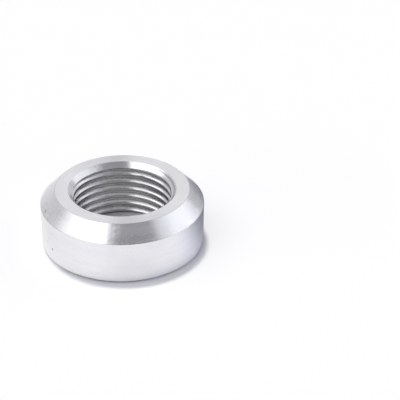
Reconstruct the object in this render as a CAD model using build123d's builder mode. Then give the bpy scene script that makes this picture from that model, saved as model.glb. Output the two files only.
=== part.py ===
from build123d import *
import math
import os

# A turned ring that is welded into the wall of a pipe, with a sensor thread through it.
# The base lies on Z = 0, the bore runs along Z, and the weld chamfer is at the top.
# Lengths are in millimetres, angles in degrees.

# Ring
outer_diameter = 28.0
height = 10.0
base_edge_break = 0.4

# Thread, M18 x 1.5, right-hand, tapped all the way through
thread_major_diameter = 18.0
thread_pitch = 1.5
thread_angle = 60.0
root_flat = thread_pitch / 8
# share of a turn by which the groove's centre has climbed above the base at +X
thread_phase = 0.42

# The weld chamfer, at 45 degrees, takes half of the wall that is left round the thread.
outer_radius = outer_diameter / 2
root_radius = thread_major_diameter / 2
weld_chamfer = (outer_radius - root_radius) / 2

# Bore, with a 45 degree lead-in at each end; the one at the mouth is wider than the thread
tap_drill_diameter = thread_major_diameter - thread_pitch
drill_radius = tap_drill_diameter / 2
mouth_clearance = 0.25
mouth_lead_in = root_radius + mouth_clearance - drill_radius
base_lead_in = 0.1

# Groove cut by the tap. Its section is drawn a little past the drilled wall, into the open bore,
# and its two sides still leave a gap there between one turn and the next.
groove_overrun = thread_pitch / 6
groove_inner_radius = drill_radius - groove_overrun
flank_slope = math.tan(math.radians(thread_angle / 2))
groove_half_mouth = root_flat / 2 + (root_radius - groove_inner_radius) * flank_slope

# The first turn starts below the base, and the last one ends above the top.
first_turn_height = (thread_phase - 1) * thread_pitch
turn_count = math.ceil((height + groove_half_mouth - first_turn_height) / thread_pitch)
turn_positions = [
    (0, 0, first_turn_height + turn * thread_pitch) for turn in range(turn_count)
]

# One turn of the groove, as a solid to cut with
with BuildPart() as groove_turn:
    with BuildLine():
        Helix(pitch=thread_pitch, height=thread_pitch, radius=drill_radius)
    with BuildSketch(Plane.XZ):
        with BuildLine():
            Polyline(
                (groove_inner_radius, -groove_half_mouth),
                (root_radius, -root_flat / 2),
                (root_radius, root_flat / 2),
                (groove_inner_radius, groove_half_mouth),
                close=True,
            )
        make_face()
    sweep(is_frenet=True)

with BuildPart() as weld_bung:
    # Blank
    with BuildSketch(Plane.XY):
        Circle(outer_radius)
    extrude(amount=height)

    # Weld chamfer round the top, edge break round the base
    outer_rims = weld_bung.edges().filter_by(GeomType.CIRCLE).sort_by(Axis.Z)
    chamfer(outer_rims[-1], length=weld_chamfer)
    chamfer(outer_rims[0], length=base_edge_break)

    # Tap drill hole, and a lead-in at each of its ends
    Hole(radius=drill_radius)
    bore_rims = (
        weld_bung.edges()
        .filter_by(GeomType.CIRCLE)
        .group_by(lambda rim: rim.radius)[0]
        .sort_by(Axis.Z)
    )
    chamfer(bore_rims[-1], length=mouth_lead_in)
    chamfer(bore_rims[0], length=base_lead_in)

    # Thread
    with Locations(turn_positions):
        add(groove_turn.part, mode=Mode.SUBTRACT)

weld_bung.part.label = "weld_bung"

os.makedirs("parts", exist_ok=True)
export_step(weld_bung.part, "parts/weld_bung.step")
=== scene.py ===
import math

import bmesh
import bpy
from mathutils import Matrix, Vector


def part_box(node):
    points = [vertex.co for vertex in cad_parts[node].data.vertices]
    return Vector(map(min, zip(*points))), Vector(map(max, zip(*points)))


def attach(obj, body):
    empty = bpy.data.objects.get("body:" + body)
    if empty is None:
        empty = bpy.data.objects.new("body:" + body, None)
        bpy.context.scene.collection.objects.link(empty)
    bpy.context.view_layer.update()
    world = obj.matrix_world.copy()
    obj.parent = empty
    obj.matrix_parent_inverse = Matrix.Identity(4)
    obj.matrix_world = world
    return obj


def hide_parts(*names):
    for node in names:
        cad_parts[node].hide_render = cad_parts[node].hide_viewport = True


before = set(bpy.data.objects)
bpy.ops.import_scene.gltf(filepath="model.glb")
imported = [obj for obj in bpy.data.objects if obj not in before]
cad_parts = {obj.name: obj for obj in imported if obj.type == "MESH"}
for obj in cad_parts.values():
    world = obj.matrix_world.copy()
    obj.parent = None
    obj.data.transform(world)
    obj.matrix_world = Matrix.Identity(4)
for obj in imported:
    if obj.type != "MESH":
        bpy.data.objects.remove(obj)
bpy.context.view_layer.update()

MM = 0.001

# Outer size of the bung, from its CAD node
highest_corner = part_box("weld_bung")[1]
OUTER_RADIUS = highest_corner.x
HEIGHT = highest_corner.z

# Thread, the same as in the CAD: its grooves reach out to the root, and the crests stand between them
ROOT_RADIUS = 9.0 * MM
PITCH = 1.5 * MM
THREAD_ANGLE = math.radians(60)
CREST_RADIUS = ROOT_RADIUS - PITCH / 2
ROOT_FLAT = PITCH / 8
FLANK_SLOPE = math.tan(THREAD_ANGLE / 2)
FIRST_GROOVE_HEIGHT = 0.42 * PITCH

# Edges, the same as in the CAD, all at 45 degrees
WELD_CHAMFER = (OUTER_RADIUS - ROOT_RADIUS) / 2
MOUTH_CLEARANCE = 0.25 * MM
MOUTH_RADIUS = ROOT_RADIUS + MOUTH_CLEARANCE
BASE_LEAD_IN = 0.1 * MM
BASE_EDGE_BREAK = 0.4 * MM

# Small roundings that the tools leave on the edges
EDGE_ROUNDING = 0.08 * MM
ROOT_ROUNDING = 0.06 * MM
CREST_ROUNDING = 0.28 * MM

# Width of the dull line along both edges of the weld chamfer
RIM_WIDTH = 0.09 * MM
# Reach of the dark line of painted shade along the lower edge of the countersink
LIP = 0.14 * MM

# How far both countersinks of the uncut blank run on inside the crests
BLANK_SPARE = 0.6 * MM
# Steps in a full turn of the bung
STEPS_ROUND = 360
# Width up to which a sliver that a cut leaves is closed
SLIVER = 0.0005 * MM
# Angle between two faces, in degrees, above which the edge between them looks sharp
SHARP_ANGLE = 32


# Nodes


def feed(tree, socket, value):
    """Sets a socket to a plain value, or links another socket to it."""
    if isinstance(value, bpy.types.NodeSocket):
        tree.links.new(value, socket)
    else:
        socket.default_value = value


def maths(tree, operation, *values):
    """Works out one sum, product or other function of numbers that vary over the surface."""
    node = tree.nodes.new("ShaderNodeMath")
    node.operation = operation
    for socket, value in zip(node.inputs, values):
        feed(tree, socket, value)
    return node.outputs[0]


def ramp(tree, value, low, high, start=0.0, end=1.0, kind="SMOOTHSTEP"):
    """Runs from start to end while the value runs from low to high, and holds beyond them."""
    node = tree.nodes.new("ShaderNodeMapRange")
    node.interpolation_type = kind
    for name, given in (
        ("Value", value),
        ("From Min", low),
        ("From Max", high),
        ("To Min", start),
        ("To Max", end),
    ):
        feed(tree, node.inputs[name], given)
    return node.outputs["Result"]


def vary(tree, noise, amount, low=0.3, high=0.7, kind="SMOOTHSTEP"):
    """Turns a noise, which lies mostly between low and high, into a change of plus or minus the amount."""
    return ramp(tree, noise, low, high, -amount, amount, kind)


def mix_colours(tree, factor, under, over, blend="MIX"):
    """Lays one colour over another, as strongly as the factor says."""
    node = tree.nodes.new("ShaderNodeMix")
    node.data_type = "RGBA"
    node.blend_type = blend
    # The node has sockets for every kind of data. These are its factor and its two colours.
    for index, given in ((0, factor), (6, under), (7, over)):
        feed(tree, node.inputs[index], given)
    return node.outputs[2]


def shader_group(name, inputs, outputs):
    """An empty group with named number sockets, and its inner input and output sockets."""
    group = bpy.data.node_groups.new(name, "ShaderNodeTree")
    for names, side in ((inputs, "INPUT"), (outputs, "OUTPUT")):
        for socket in names:
            group.interface.new_socket(socket, in_out=side, socket_type="NodeSocketFloat")
    given = group.nodes.new("NodeGroupInput").outputs
    result = group.nodes.new("NodeGroupOutput").inputs
    return group, given, result


def place_group(tree, group, values):
    """Puts a group in a material or world, with its own values, and returns its outputs."""
    node = tree.nodes.new("ShaderNodeGroup")
    node.node_tree = group
    for name, value in values.items():
        feed(tree, node.inputs[name], value)
    return node.outputs


# Shapes


def rounded(corners, steps=4):
    """The points of an open outline, with an arc at each corner that has a rounding.

    A corner is (radius, height, rounding, finish), and the finish is that of the stretch after it.
    """
    points = []
    for index, (radius, height, rounding, finish) in enumerate(corners):
        corner = Vector((radius, height))
        if not rounding:
            points.append((radius, height, finish))
            continue
        back = (Vector(corners[index - 1][:2]) - corner).normalized()
        ahead = (Vector(corners[index + 1][:2]) - corner).normalized()
        half_angle = back.angle(ahead) / 2
        centre = corner + (back + ahead).normalized() * rounding / math.sin(half_angle)
        inset = rounding / math.tan(half_angle)
        start = corner + back * inset - centre
        end = corner + ahead * inset - centre
        for step in range(steps + 1):
            point = centre + start.lerp(end, step / steps).normalized() * rounding
            points.append((point.x, point.y, finish))
    return points


def ring_point(radius, height, step):
    """A point at one step of the way round the axis, counted from +X toward +Y."""
    angle = 2 * math.pi * step / STEPS_ROUND
    return (radius * math.cos(angle), radius * math.sin(angle), height)


def new_object(name, shape, materials):
    """Makes an object of a finished shape, with all faces turned outward."""
    mesh = bpy.data.meshes.new(name)
    bmesh.ops.recalc_face_normals(shape, faces=shape.faces)
    shape.to_mesh(mesh)
    shape.free()
    for material in materials:
        mesh.materials.append(material)
    made = bpy.data.objects.new(name, mesh)
    bpy.context.scene.collection.objects.link(made)
    return made


def finishes_of(outline):
    """The finishes of an outline, each once, in their order."""
    return list(dict.fromkeys(finish for radius, height, finish in outline))


def turned_blank(name, outline):
    """A solid of revolution about Z, from an outline that runs from the base's middle to the top's.

    A point of the outline is (radius, height, finish).
    """
    finishes = finishes_of(outline)
    shape = bmesh.new()
    rings = [
        [shape.verts.new(ring_point(radius, height, step)) for step in range(STEPS_ROUND)]
        for radius, height, finish in outline[1:-1]
    ]
    for row, (lower, upper) in enumerate(zip(rings, rings[1:])):
        finish = finishes.index(outline[row + 1][2])
        for step in range(STEPS_ROUND):
            beside = (step + 1) % STEPS_ROUND
            face = shape.faces.new((lower[step], lower[beside], upper[beside], upper[step]))
            face.material_index = finish
    for ring, end in ((rings[0], outline[0]), (rings[-1], outline[-1])):
        centre = shape.verts.new((0, 0, end[1]))
        for step in range(STEPS_ROUND):
            shape.faces.new((ring[step], ring[(step + 1) % STEPS_ROUND], centre))
    return new_object(name, shape, finishes)


def threaded_rod(name, crest_finish, groove_finish):
    """The space that a screw fills in the bore: a right-hand thread, longer than the bore at both ends."""
    half_mouth = ROOT_FLAT / 2 + (ROOT_RADIUS - CREST_RADIUS) * FLANK_SLOPE
    # The last point of a turn is left out, because the next turn starts there.
    tooth = rounded(
        [
            (CREST_RADIUS, -PITCH / 2, 0, crest_finish),
            (CREST_RADIUS, -half_mouth, CREST_ROUNDING, groove_finish),
            (ROOT_RADIUS, -ROOT_FLAT / 2, ROOT_ROUNDING, groove_finish),
            (ROOT_RADIUS, ROOT_FLAT / 2, ROOT_ROUNDING, groove_finish),
            (CREST_RADIUS, half_mouth, CREST_ROUNDING, crest_finish),
            (CREST_RADIUS, PITCH / 2, 0, crest_finish),
        ]
    )[:-1]
    finishes = finishes_of(tooth)
    turns = range(-2, math.ceil(HEIGHT / PITCH) + 1)
    side = [
        (radius, FIRST_GROOVE_HEIGHT + turn * PITCH + height, finish)
        for turn in turns
        for radius, height, finish in tooth
    ]
    shape = bmesh.new()
    columns = []
    for step in range(STEPS_ROUND):
        climb = PITCH * step / STEPS_ROUND
        columns.append(
            [shape.verts.new(ring_point(radius, height + climb, step)) for radius, height, finish in side]
        )
    # After one round, each row meets the row one turn higher.
    columns.append(columns[0][len(tooth):])
    for here, beside in zip(columns, columns[1:]):
        for row in range(min(len(here), len(beside)) - 1):
            face = shape.faces.new((here[row], beside[row], beside[row + 1], here[row + 1]))
            face.material_index = finishes.index(side[row][2])
    # A fan of faces closes each end, outside the bung.
    for height in (side[0][1] + PITCH / 2, side[-1][1] + PITCH / 2):
        open_edges = [
            edge
            for edge in shape.edges
            if edge.is_boundary and abs(edge.verts[0].co.z - height) < 2 * PITCH
        ]
        centre = shape.verts.new((0, 0, height))
        for edge in open_edges:
            shape.faces.new((edge.verts[0], edge.verts[1], centre))
    return new_object(name, shape, finishes)


def cut_away(blank, tool):
    """Takes the tool's space out of the blank, for good, and removes the tool.

    The finish of each cut face is that of the tool.
    """
    cut = blank.modifiers.new("cut", "BOOLEAN")
    cut.operation = "DIFFERENCE"
    cut.solver = "MANIFOLD"
    cut.object = tool
    cut.material_mode = "TRANSFER"
    depsgraph = bpy.context.evaluated_depsgraph_get()
    finished = bpy.data.meshes.new_from_object(blank.evaluated_get(depsgraph))
    blank.modifiers.clear()
    blank.data = finished
    bpy.data.objects.remove(tool)
    # The cut leaves slivers without area, which are closed here.
    shape = bmesh.new()
    shape.from_mesh(finished)
    bmesh.ops.remove_doubles(shape, verts=shape.verts, dist=SLIVER)
    bmesh.ops.dissolve_degenerate(shape, edges=shape.edges, dist=SLIVER)
    shape.to_mesh(finished)
    shape.free()


def smooth_but_sharp(piece, angle):
    """Smooth shading that stays flat on wide faces and breaks at edges sharper than the angle."""
    piece.data.shade_smooth()
    piece.data.set_sharp_from_angle(angle=math.radians(angle))
    weighted = piece.modifiers.new("even faces", "WEIGHTED_NORMAL")
    weighted.keep_sharp = True
    weighted.weight = 100


# Surface effects that several finishes share

# Notches to a millimetre in the ragged edge of a mark
NOTCHES_PER_MM = 2.5


def tool_lines_group():
    """Lines that a cutting tool leaves round the axis, Spacing apart; Drift changes them along their way.

    Spacing, and the Radius that it gives back, are in millimetres.
    """
    group, given, result = shader_group("tool lines", ("Spacing", "Drift"), ("Height", "Band", "Radius"))
    place = group.nodes.new("ShaderNodeTexCoord").outputs["Object"]
    split = group.nodes.new("ShaderNodeSeparateXYZ")
    group.links.new(place, split.inputs[0])
    x, y, z = split.outputs
    squares = [maths(group, "MULTIPLY", across, across) for across in (x, y)]
    radius = maths(group, "SQRT", maths(group, "ADD", *squares))
    feed(group, result["Radius"], maths(group, "DIVIDE", radius, MM))
    fineness = maths(group, "DIVIDE", 1 / MM, given["Spacing"])
    cosine = maths(group, "DIVIDE", x, radius)
    sine = maths(group, "DIVIDE", y, radius)
    # The lines themselves, and broader bands. The angle enters as a place on a circle, so that each line
    # meets itself after a full turn.
    for name, closeness, detail, drift in (("Height", 1.0, 3.0, 1.0), ("Band", 0.18, 2.0, 0.8)):
        where = group.nodes.new("ShaderNodeCombineXYZ")
        scaled = maths(group, "MULTIPLY", fineness, closeness)
        feed(group, where.inputs["X"], maths(group, "MULTIPLY", radius, scaled))
        feed(group, where.inputs["Y"], maths(group, "MULTIPLY", z, scaled))
        along = maths(group, "MULTIPLY", given["Drift"], drift)
        feed(group, where.inputs["Z"], maths(group, "MULTIPLY", cosine, along))
        noise = group.nodes.new("ShaderNodeTexNoise")
        noise.noise_dimensions = "4D"
        feed(group, noise.inputs["Vector"], where.outputs[0])
        feed(group, noise.inputs["W"], maths(group, "MULTIPLY", sine, along))
        noise.inputs["Scale"].default_value = 1
        noise.inputs["Detail"].default_value = detail
        feed(group, result[name], noise.outputs[0])
    return group


def grain_group():
    """Fine speckle of the bare metal, and much broader clouds; Size of the speckle in millimetres."""
    group, given, result = shader_group("metal grain", ("Size",), ("Speckle", "Cloud"))
    place = group.nodes.new("ShaderNodeTexCoord").outputs["Object"]
    fineness = maths(group, "DIVIDE", 1 / MM, given["Size"])
    for name, closeness, detail in (("Speckle", 1.0, 4.0), ("Cloud", 0.07, 3.0)):
        noise = group.nodes.new("ShaderNodeTexNoise")
        feed(group, noise.inputs["Vector"], place)
        feed(group, noise.inputs["Scale"], maths(group, "MULTIPLY", fineness, closeness))
        noise.inputs["Detail"].default_value = detail
        feed(group, result[name], noise.outputs[0])
    return group


def ragged_mark_group():
    """Mask of a mark with a ragged edge. Its place and Size are in millimetres.

    Stretch is how much wider than high the mark is.
    """
    # Used for nicks, and for broad stretches of painted light or shade.
    group, given, result = shader_group("ragged mark", ("X", "Y", "Z", "Size", "Stretch"), ("Mask",))
    place = group.nodes.new("ShaderNodeTexCoord").outputs["Object"]
    ragged = group.nodes.new("ShaderNodeTexNoise")
    feed(group, ragged.inputs["Vector"], place)
    ragged.inputs["Scale"].default_value = NOTCHES_PER_MM / MM
    split = group.nodes.new("ShaderNodeSeparateXYZ")
    group.links.new(place, split.inputs[0])
    total = 0
    for axis, here in zip("XYZ", split.outputs):
        gap = maths(group, "SUBTRACT", maths(group, "DIVIDE", here, MM), given[axis])
        if axis == "X":
            gap = maths(group, "DIVIDE", gap, given["Stretch"])
        total = maths(group, "ADD", total, maths(group, "MULTIPLY", gap, gap))
    reach = maths(group, "DIVIDE", maths(group, "SQRT", total), given["Size"])
    wobble = vary(group, ragged.outputs[0], 0.5, kind="LINEAR")
    feed(group, result["Mask"], ramp(group, maths(group, "ADD", reach, wobble), 0.5, 1.0, 1.0, 0.0))
    return group


tool_lines = tool_lines_group()
grain = grain_group()
ragged_mark = ragged_mark_group()


# Materials


# How far the painted shade reaches on the shoulder of the thread's crest and toward its root, in
# millimetres
SHOULDER = 0.22
ROOT_SHADE = 0.45

# How much the bare metal varies: its brightness by the bands and the speckle, and its roughness
BAND_TONE = 0.02
SPECKLE_TONE = 0.025
ROUGHNESS_CHANGE = 0.03
# Size of the speckle in millimetres, and how much the tool lines change on their way round
SPECKLE_SIZE = 0.25
LINE_DRIFT = 1.5
# Turn of a tangent that makes reflections spread across the tool lines, as a share of a full turn
ACROSS_THE_LINES = 0.25
# Shares of red, green and blue in the light that the metal gives back
METAL_TINT = {"Red": 0.985, "Green": 0.985, "Blue": 1.0}

# The low dark cylinder at the right, a card that stands on a mat, for reflections alone: painted shade,
# darkest at the card and paler away from it
CARD_RADIUS = 14.0 * MM
CARD_HEIGHT = 8.0 * MM
CARD_PLACE = (28.4 * MM, 18.9 * MM, 0)
CARD_COLOUR = (0.2, 0.2, 0.25, 1)
MAT_RADIUS = 31.0 * MM
MAT_HEIGHT = 0.02 * MM
MAT_RIM_COLOUR = (0.86, 0.87, 0.94, 1)

# Radius of the round floor, in metres, and the colour of its paper
FLOOR_RADIUS = 3.0
PAPER_COLOUR = (0.93, 0.93, 0.93, 1)


def plain_material(name):
    """A new material, its node tree and the inputs of its shader."""
    material = bpy.data.materials.new(name)
    material.use_nodes = True
    return material, material.node_tree, material.node_tree.nodes["Principled BSDF"].inputs


def bare_aluminium(
    name, brightness, roughness, anisotropy, spacing, depth, satin=0.0, thread_shade=None, marks_and_painted_light=()
):
    """Aluminium straight from the lathe. Spacing and depth of its tool lines are in millimetres.

    Satin is the share of light that the fine roughness scatters all round. For a thread, the brightness
    of the crest's shoulder and that of the root are given, as painted shade. A mark is (place, size,
    stretch, brightness, pit): a nick, or a broad stretch of painted light or shade, with its place, size
    and pit depth in millimetres.
    """
    material, tree, metal = plain_material(name)
    lines = place_group(tree, tool_lines, {"Spacing": spacing, "Drift": LINE_DRIFT})
    speckle = place_group(tree, grain, {"Size": SPECKLE_SIZE})

    level = brightness
    # Painted shade: the crest's shoulder and the thread's root are darker in colour.
    if thread_shade:
        crest, root = thread_shade
        crest_radius, root_radius = CREST_RADIUS / MM, ROOT_RADIUS / MM
        shoulder = ramp(tree, lines["Radius"], crest_radius, crest_radius + SHOULDER, crest, brightness)
        shade = ramp(
            tree, lines["Radius"], root_radius - ROOT_SHADE, root_radius, 1, root / brightness, "LINEAR"
        )
        level = maths(tree, "MULTIPLY", shoulder, shade)
    level = maths(tree, "ADD", level, vary(tree, lines["Band"], BAND_TONE))
    level = maths(tree, "ADD", level, vary(tree, speckle["Speckle"], SPECKLE_TONE))
    relief = lines["Height"]
    # A mark is a nick, or a broad stretch of painted light or shade.
    for (x, y, z), size, stretch, mark_or_painted_brightness, pit in marks_and_painted_light:
        spot = {"X": x, "Y": y, "Z": z, "Size": size, "Stretch": stretch}
        mask = place_group(tree, ragged_mark, spot)["Mask"]
        level = maths(tree, "ADD", level, maths(tree, "MULTIPLY", mask, mark_or_painted_brightness - brightness))
        if pit:
            relief = maths(tree, "SUBTRACT", relief, maths(tree, "MULTIPLY", mask, pit / depth))
    tint = tree.nodes.new("ShaderNodeCombineColor")
    for channel, share in METAL_TINT.items():
        feed(tree, tint.inputs[channel], maths(tree, "MULTIPLY", level, share))
    feed(tree, metal["Base Color"], tint.outputs[0])

    cloudiness = vary(tree, speckle["Cloud"], ROUGHNESS_CHANGE, 0.35, 0.65)
    dullness = maths(tree, "ADD", cloudiness, vary(tree, lines["Band"], ROUGHNESS_CHANGE))
    feed(tree, metal["Roughness"], maths(tree, "ADD", dullness, roughness))
    metal["Metallic"].default_value = 1 - satin
    metal["Anisotropic"].default_value = anisotropy
    metal["Anisotropic Rotation"].default_value = ACROSS_THE_LINES
    round_axis = tree.nodes.new("ShaderNodeTangent")
    round_axis.direction_type = "RADIAL"
    round_axis.axis = "Z"
    feed(tree, metal["Tangent"], round_axis.outputs[0])

    bump = tree.nodes.new("ShaderNodeBump")
    bump.inputs["Strength"].default_value = 1
    bump.inputs["Distance"].default_value = depth * MM
    feed(tree, bump.inputs["Height"], relief)
    feed(tree, metal["Normal"], bump.outputs[0])
    return material


def matt_material(name):
    """A material without gloss, its node tree and the inputs of its shader."""
    material, tree, matt = plain_material(name)
    matt["Roughness"].default_value = 0.9
    matt["Specular IOR Level"].default_value = 0.1
    return material, tree, matt


def paper_material():
    """White paper, for the floor."""
    material, tree, paper = matt_material("white paper")
    paper["Base Color"].default_value = PAPER_COLOUR
    return material


def card_material():
    """Dark bluish card, and a mat under it that gets paler away from it."""
    # Painted shade: the card is dark and the mat pales away from it; only reflections show them.
    material, tree, card = matt_material("dark card")
    place = tree.nodes.new("ShaderNodeTexCoord").outputs["Object"]
    distance = tree.nodes.new("ShaderNodeVectorMath")
    distance.operation = "LENGTH"
    feed(tree, distance.inputs[0], place)
    away = ramp(tree, distance.outputs["Value"], CARD_RADIUS, MAT_RADIUS)
    feed(tree, card["Base Color"], mix_colours(tree, away, CARD_COLOUR, MAT_RIM_COLOUR))
    return material


# The bung

turned = bare_aluminium(
    "turned aluminium",
    brightness=0.88, roughness=0.34, anisotropy=0.92, spacing=0.2, depth=0.002, satin=0.05,
    marks_and_painted_light=[
        ((-11.29, -8.28, 2.65), 0.32, 1.2, 0.4, 0.006),
        ((-12.21, -6.84, 3.36), 0.24, 1.3, 0.6, 0.005),
    ],
)
bevelled = bare_aluminium(
    "bevelled aluminium",
    brightness=0.83, roughness=0.3, anisotropy=0.9, spacing=0.25, depth=0.0015,
    marks_and_painted_light=[
        # at the left end
        ((-12.64, -4.85, 7.96), 0.4, 1.2, 0.58, 0.005),
        ((-12.25, -5.97, 7.88), 0.35, 1.0, 0.95, 0.0),
        ((-11.98, -6.92, 7.67), 0.25, 1.5, 0.64, 0.005),
        # in front
        ((-0.62, -12.0, 9.5), 0.42, 0.8, 0.95, 0.004),
        ((0.08, -11.85, 9.65), 0.3, 1.4, 0.95, 0.003),
        ((-0.7, -12.8, 8.7), 0.5, 0.7, 0.95, 0.003),
        ((0.15, -12.58, 8.92), 0.3, 1.2, 0.9, 0.003),
        ((-1.0, -13.52, 7.94), 0.3, 1.6, 0.75, 0.004),
        ((-0.25, -12.35, 9.15), 0.3, 1.3, 0.74, 0.0),
        # at the right end, a pitted nick, painted brighter as a highlight
        ((12.73, -3.95, 8.17), 0.6, 1.0, 0.95, 0.01),
    ],
)
faced = bare_aluminium(
    "faced aluminium",
    brightness=0.835, roughness=0.31, anisotropy=0.94, spacing=0.12, depth=0.0012, satin=0.05,
)
rimmed = bare_aluminium(
    "rimmed aluminium",
    brightness=0.7, roughness=0.3, anisotropy=0.5, spacing=0.2, depth=0.001,
)
countersunk = bare_aluminium(
    "countersunk aluminium",
    brightness=0.86, roughness=0.28, anisotropy=0.88, spacing=0.3, depth=0.0015,
    # painted shade: a broad duller stretch at the left, behind, which stands in for the falling off of
    # near light
    marks_and_painted_light=[((-7.3, 4.6, 9.5), 5.2, 1.0, 0.72, 0.0)],
)
# The dark tone of the edge break at the foot is painted shade, for the dark line under the wall.
deburred_painted_shade = bare_aluminium(
    "deburred aluminium",
    brightness=0.6, roughness=0.3, anisotropy=0.5, spacing=0.2, depth=0.001,
    # painted light: a broad brighter stretch at the left, in front, which keeps the painted shade of the
    # line at the foot faint there
    marks_and_painted_light=[((-12.5, -6.0, 0.2), 6.5, 1.0, 0.95, 0.0)],
)
# Its dark tone is painted shade, on the thread's crests and on the countersink's lower lip.
drilled_painted_shade = bare_aluminium(
    "drilled aluminium",
    brightness=0.28, roughness=0.35, anisotropy=0.6, spacing=0.12, depth=0.001,
)
# The thread's crest shoulders and roots are darker in colour: painted shade. The two marks are real torn
# spots.
tapped_painted_shade = bare_aluminium(
    "tapped aluminium",
    brightness=0.92, roughness=0.25, anisotropy=0.85, spacing=0.15, depth=0.001, thread_shade=(0.44, 0.46),
    marks_and_painted_light=[
        ((2.9, 7.85, 7.8), 0.35, 2.0, 0.65, 0.008),
        ((4.3, 7.15, 7.35), 0.3, 1.5, 0.55, 0.008),
    ],
)

# The blank is solid in the middle, with a dimple at each end. The thread's tool then opens the bore.
dimple_radius = CREST_RADIUS - BLANK_SPARE
mouth_dimple = HEIGHT - (MOUTH_RADIUS - dimple_radius)
base_mouth_radius = CREST_RADIUS + BASE_LEAD_IN
base_dimple = base_mouth_radius - dimple_radius
bung = turned_blank(
    "turned_bung",
    rounded(
        [
            (0, base_dimple, 0, countersunk),
            (dimple_radius, base_dimple, 0, countersunk),
            (base_mouth_radius, 0, EDGE_ROUNDING, faced),
            (OUTER_RADIUS - BASE_EDGE_BREAK, 0, EDGE_ROUNDING, deburred_painted_shade),
            (OUTER_RADIUS, BASE_EDGE_BREAK, EDGE_ROUNDING, turned),
            (OUTER_RADIUS, HEIGHT - WELD_CHAMFER, EDGE_ROUNDING, rimmed),
            (OUTER_RADIUS - RIM_WIDTH, HEIGHT - WELD_CHAMFER + RIM_WIDTH, 0, bevelled),
            (OUTER_RADIUS - WELD_CHAMFER, HEIGHT, EDGE_ROUNDING, rimmed),
            (OUTER_RADIUS - WELD_CHAMFER - RIM_WIDTH, HEIGHT, 0, faced),
            (MOUTH_RADIUS, HEIGHT, EDGE_ROUNDING, countersunk),
            (CREST_RADIUS + LIP, HEIGHT - (MOUTH_RADIUS - CREST_RADIUS - LIP), 0, drilled_painted_shade),
            (dimple_radius, mouth_dimple, 0, drilled_painted_shade),
            (0, mouth_dimple, 0, drilled_painted_shade),
        ]
    ),
)
cut_away(bung, threaded_rod("thread_space", drilled_painted_shade, tapped_painted_shade))
smooth_but_sharp(bung, SHARP_ANGLE)
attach(bung, "root")
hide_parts("weld_bung")

# Floor

floor_shape = bmesh.new()
bmesh.ops.create_circle(floor_shape, cap_ends=True, radius=FLOOR_RADIUS, segments=64)
floor = new_object("floor", floor_shape, [paper_material()])

# Card and mat at the right, which only reflections show: painted shade on the right end of the wall and
# the chamfer

card_shape = bmesh.new()
bmesh.ops.create_cone(
    card_shape,
    segments=48,
    radius1=CARD_RADIUS,
    radius2=CARD_RADIUS,
    depth=CARD_HEIGHT,
    matrix=Matrix.Translation((0, 0, CARD_HEIGHT / 2)),
)
bmesh.ops.create_circle(
    card_shape,
    cap_ends=True,
    radius=MAT_RADIUS,
    segments=96,
    matrix=Matrix.Translation((0, 0, MAT_HEIGHT)),
)
card = new_object("dark_card", card_shape, [card_material()])
card.location = CARD_PLACE
card.visible_camera = False
card.visible_diffuse = False
card.visible_shadow = False

# Studio light


def softbox_group():
    """Mask of a soft-edged patch of sky, by azimuth from the front and height, both in degrees."""
    inputs = ("Azimuth", "Height", "Middle", "Half Width", "Low", "High", "Side Fade", "Edge Fade")
    group, given, result = shader_group("softbox", inputs, ("Mask",))

    def fade(distance, width):
        """1 well inside an edge, 0 well outside; distance is positive inside."""
        half = maths(group, "MULTIPLY", width, 0.5)
        return ramp(group, distance, maths(group, "MULTIPLY", half, -1), half)

    turn = maths(group, "SUBTRACT", given["Azimuth"], given["Middle"])
    aside = maths(group, "ABSOLUTE", maths(group, "WRAP", turn, 180, -180))
    sides = fade(maths(group, "SUBTRACT", given["Half Width"], aside), given["Side Fade"])
    above = fade(maths(group, "SUBTRACT", given["Height"], given["Low"]), given["Edge Fade"])
    below = fade(maths(group, "SUBTRACT", given["High"], given["Height"]), given["Edge Fade"])
    feed(group, result["Mask"], maths(group, "MULTIPLY", sides, maths(group, "MULTIPLY", above, below)))
    return group


def studio_world(room_colour, matt_share, patches):
    """A pale studio all round, with soft-edged patches that are lighter or darker than the rest.

    A patch is (strength, tint, middle, half width, low, high, side fade, edge fade). All but the first
    two are angles in degrees, and a later patch covers an earlier one. The matt share is the colour
    that matt surfaces get of this light.
    """
    world = bpy.data.worlds.new("studio")
    bpy.context.scene.world = world
    world.use_nodes = True
    tree = world.node_tree
    direction = tree.nodes.new("ShaderNodeSeparateXYZ")
    feed(tree, direction.inputs[0], tree.nodes.new("ShaderNodeTexCoord").outputs["Generated"])
    x, y, z = direction.outputs
    from_front = maths(tree, "ARCTAN2", x, maths(tree, "MULTIPLY", y, -1))
    azimuth = maths(tree, "MULTIPLY", from_front, 180 / math.pi)
    height = maths(tree, "MULTIPLY", maths(tree, "ARCSINE", z), 180 / math.pi)
    softbox = softbox_group()
    light = room_colour
    for strength, tint, middle, half_width, low, high, side_fade, edge_fade in patches:
        mask = place_group(tree, softbox, {
            "Azimuth": azimuth,
            "Height": height,
            "Middle": middle,
            "Half Width": half_width,
            "Low": low,
            "High": high,
            "Side Fade": side_fade,
            "Edge Fade": edge_fade,
        })["Mask"]
        light = mix_colours(tree, mask, light, [strength * share for share in tint] + [1])
    diffuse_ray = tree.nodes.new("ShaderNodeLightPath").outputs["Is Diffuse Ray"]
    light = mix_colours(tree, diffuse_ray, light, matt_share, blend="MULTIPLY")
    feed(tree, tree.nodes["Background"].inputs["Color"], light)


# Tints of the light, and the room's own colour
NEUTRAL = (0.98, 0.98, 1)
COOL = (0.94, 0.945, 1)
BLUISH = (0.89, 0.905, 1)
ROOM_COLOUR = (0.68, 0.685, 0.71, 1)
# Matt surfaces get less of this light, and cooler, than reflections show.
MATT_SHARE = (0.655, 0.66, 0.715, 1)

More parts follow.
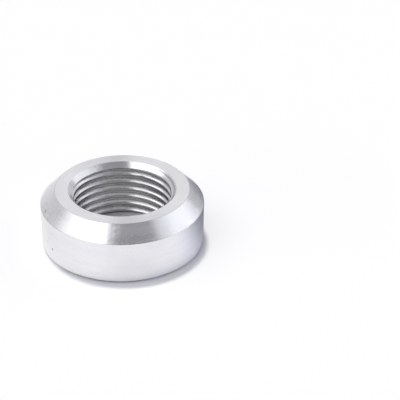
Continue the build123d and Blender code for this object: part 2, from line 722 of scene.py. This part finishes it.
studio_world(
    ROOM_COLOUR,
    MATT_SHARE,
    [
        # pale walls low down in front, left and right, a pale wall behind, and a darker ceiling
        (1.08, NEUTRAL, -30, 60, -5, 22, 20, 14),
        (1.15, BLUISH, 52, 36, -5, 24, 20, 14),
        (0.95, NEUTRAL, 180, 28, 14, 66, 24, 18),
        (0.36, COOL, 0, 360, 58, 120, 10, 24),
        # left softbox, which reaches up over the bung, and right softbox in two steps
        (1.9, NEUTRAL, -69, 47, 36, 82, 6, 12),
        (1.2, COOL, 97, 37, 30, 50, 5, 8),
        (1.45, COOL, 106, 28, 14, 40, 7, 8),
        # dark gap high over the camera, and darker corners behind, right and left
        (0.29, COOL, 19, 43, 30, 95, 5, 16),
        (0.66, COOL, 156, 21, -12, 23, 8, 10),
        (0.65, NEUTRAL, -132, 30, -10, 29, 16, 12),
    ],
)

# The key lamp stands high behind the bung, a little to the left, and is seen in no reflection.
KEY_AZIMUTH = math.radians(-153)
KEY_HEIGHT = math.radians(77.2)
KEY_SPREAD = math.radians(8)
KEY_STRENGTH = 1.62
KEY_COLOUR = (1, 0.985, 0.91)

key_light = bpy.data.lights.new("key", "SUN")
key_light.energy = KEY_STRENGTH
key_light.angle = KEY_SPREAD
key_light.color = KEY_COLOUR
key = bpy.data.objects.new("key", key_light)
toward_key = Vector((
    math.sin(KEY_AZIMUTH) * math.cos(KEY_HEIGHT),
    -math.cos(KEY_AZIMUTH) * math.cos(KEY_HEIGHT),
    math.sin(KEY_HEIGHT),
))
key.rotation_euler = toward_key.to_track_quat("Z", "Y").to_euler()
bpy.context.scene.collection.objects.link(key)
key.visible_glossy = False

# Camera

# Fitted to the outline of the bung; the lens and its sensor are in millimetres
CAMERA_PLACE = (13.289 * MM, -173.75 * MM, 112.594 * MM)
LOOK_DOWN = math.radians(31.077)
ROLL = math.radians(1.126)
LENS_LENGTH = 106.53
SENSOR_WIDTH = 36
NEAREST_SEEN = 5.0 * MM

lens = bpy.data.cameras.new("camera")
lens.sensor_width = SENSOR_WIDTH
lens.lens = LENS_LENGTH
lens.clip_start = NEAREST_SEEN
camera = bpy.data.objects.new("camera", lens)
bpy.context.scene.collection.objects.link(camera)
tilt = Matrix.Rotation(math.pi / 2 - LOOK_DOWN, 4, "X")
roll = Matrix.Rotation(ROLL, 4, "Z")
camera.matrix_world = Matrix.Translation(CAMERA_PLACE) @ tilt @ roll
bpy.context.scene.camera = camera

bpy.context.scene.view_settings.view_transform = "Standard"
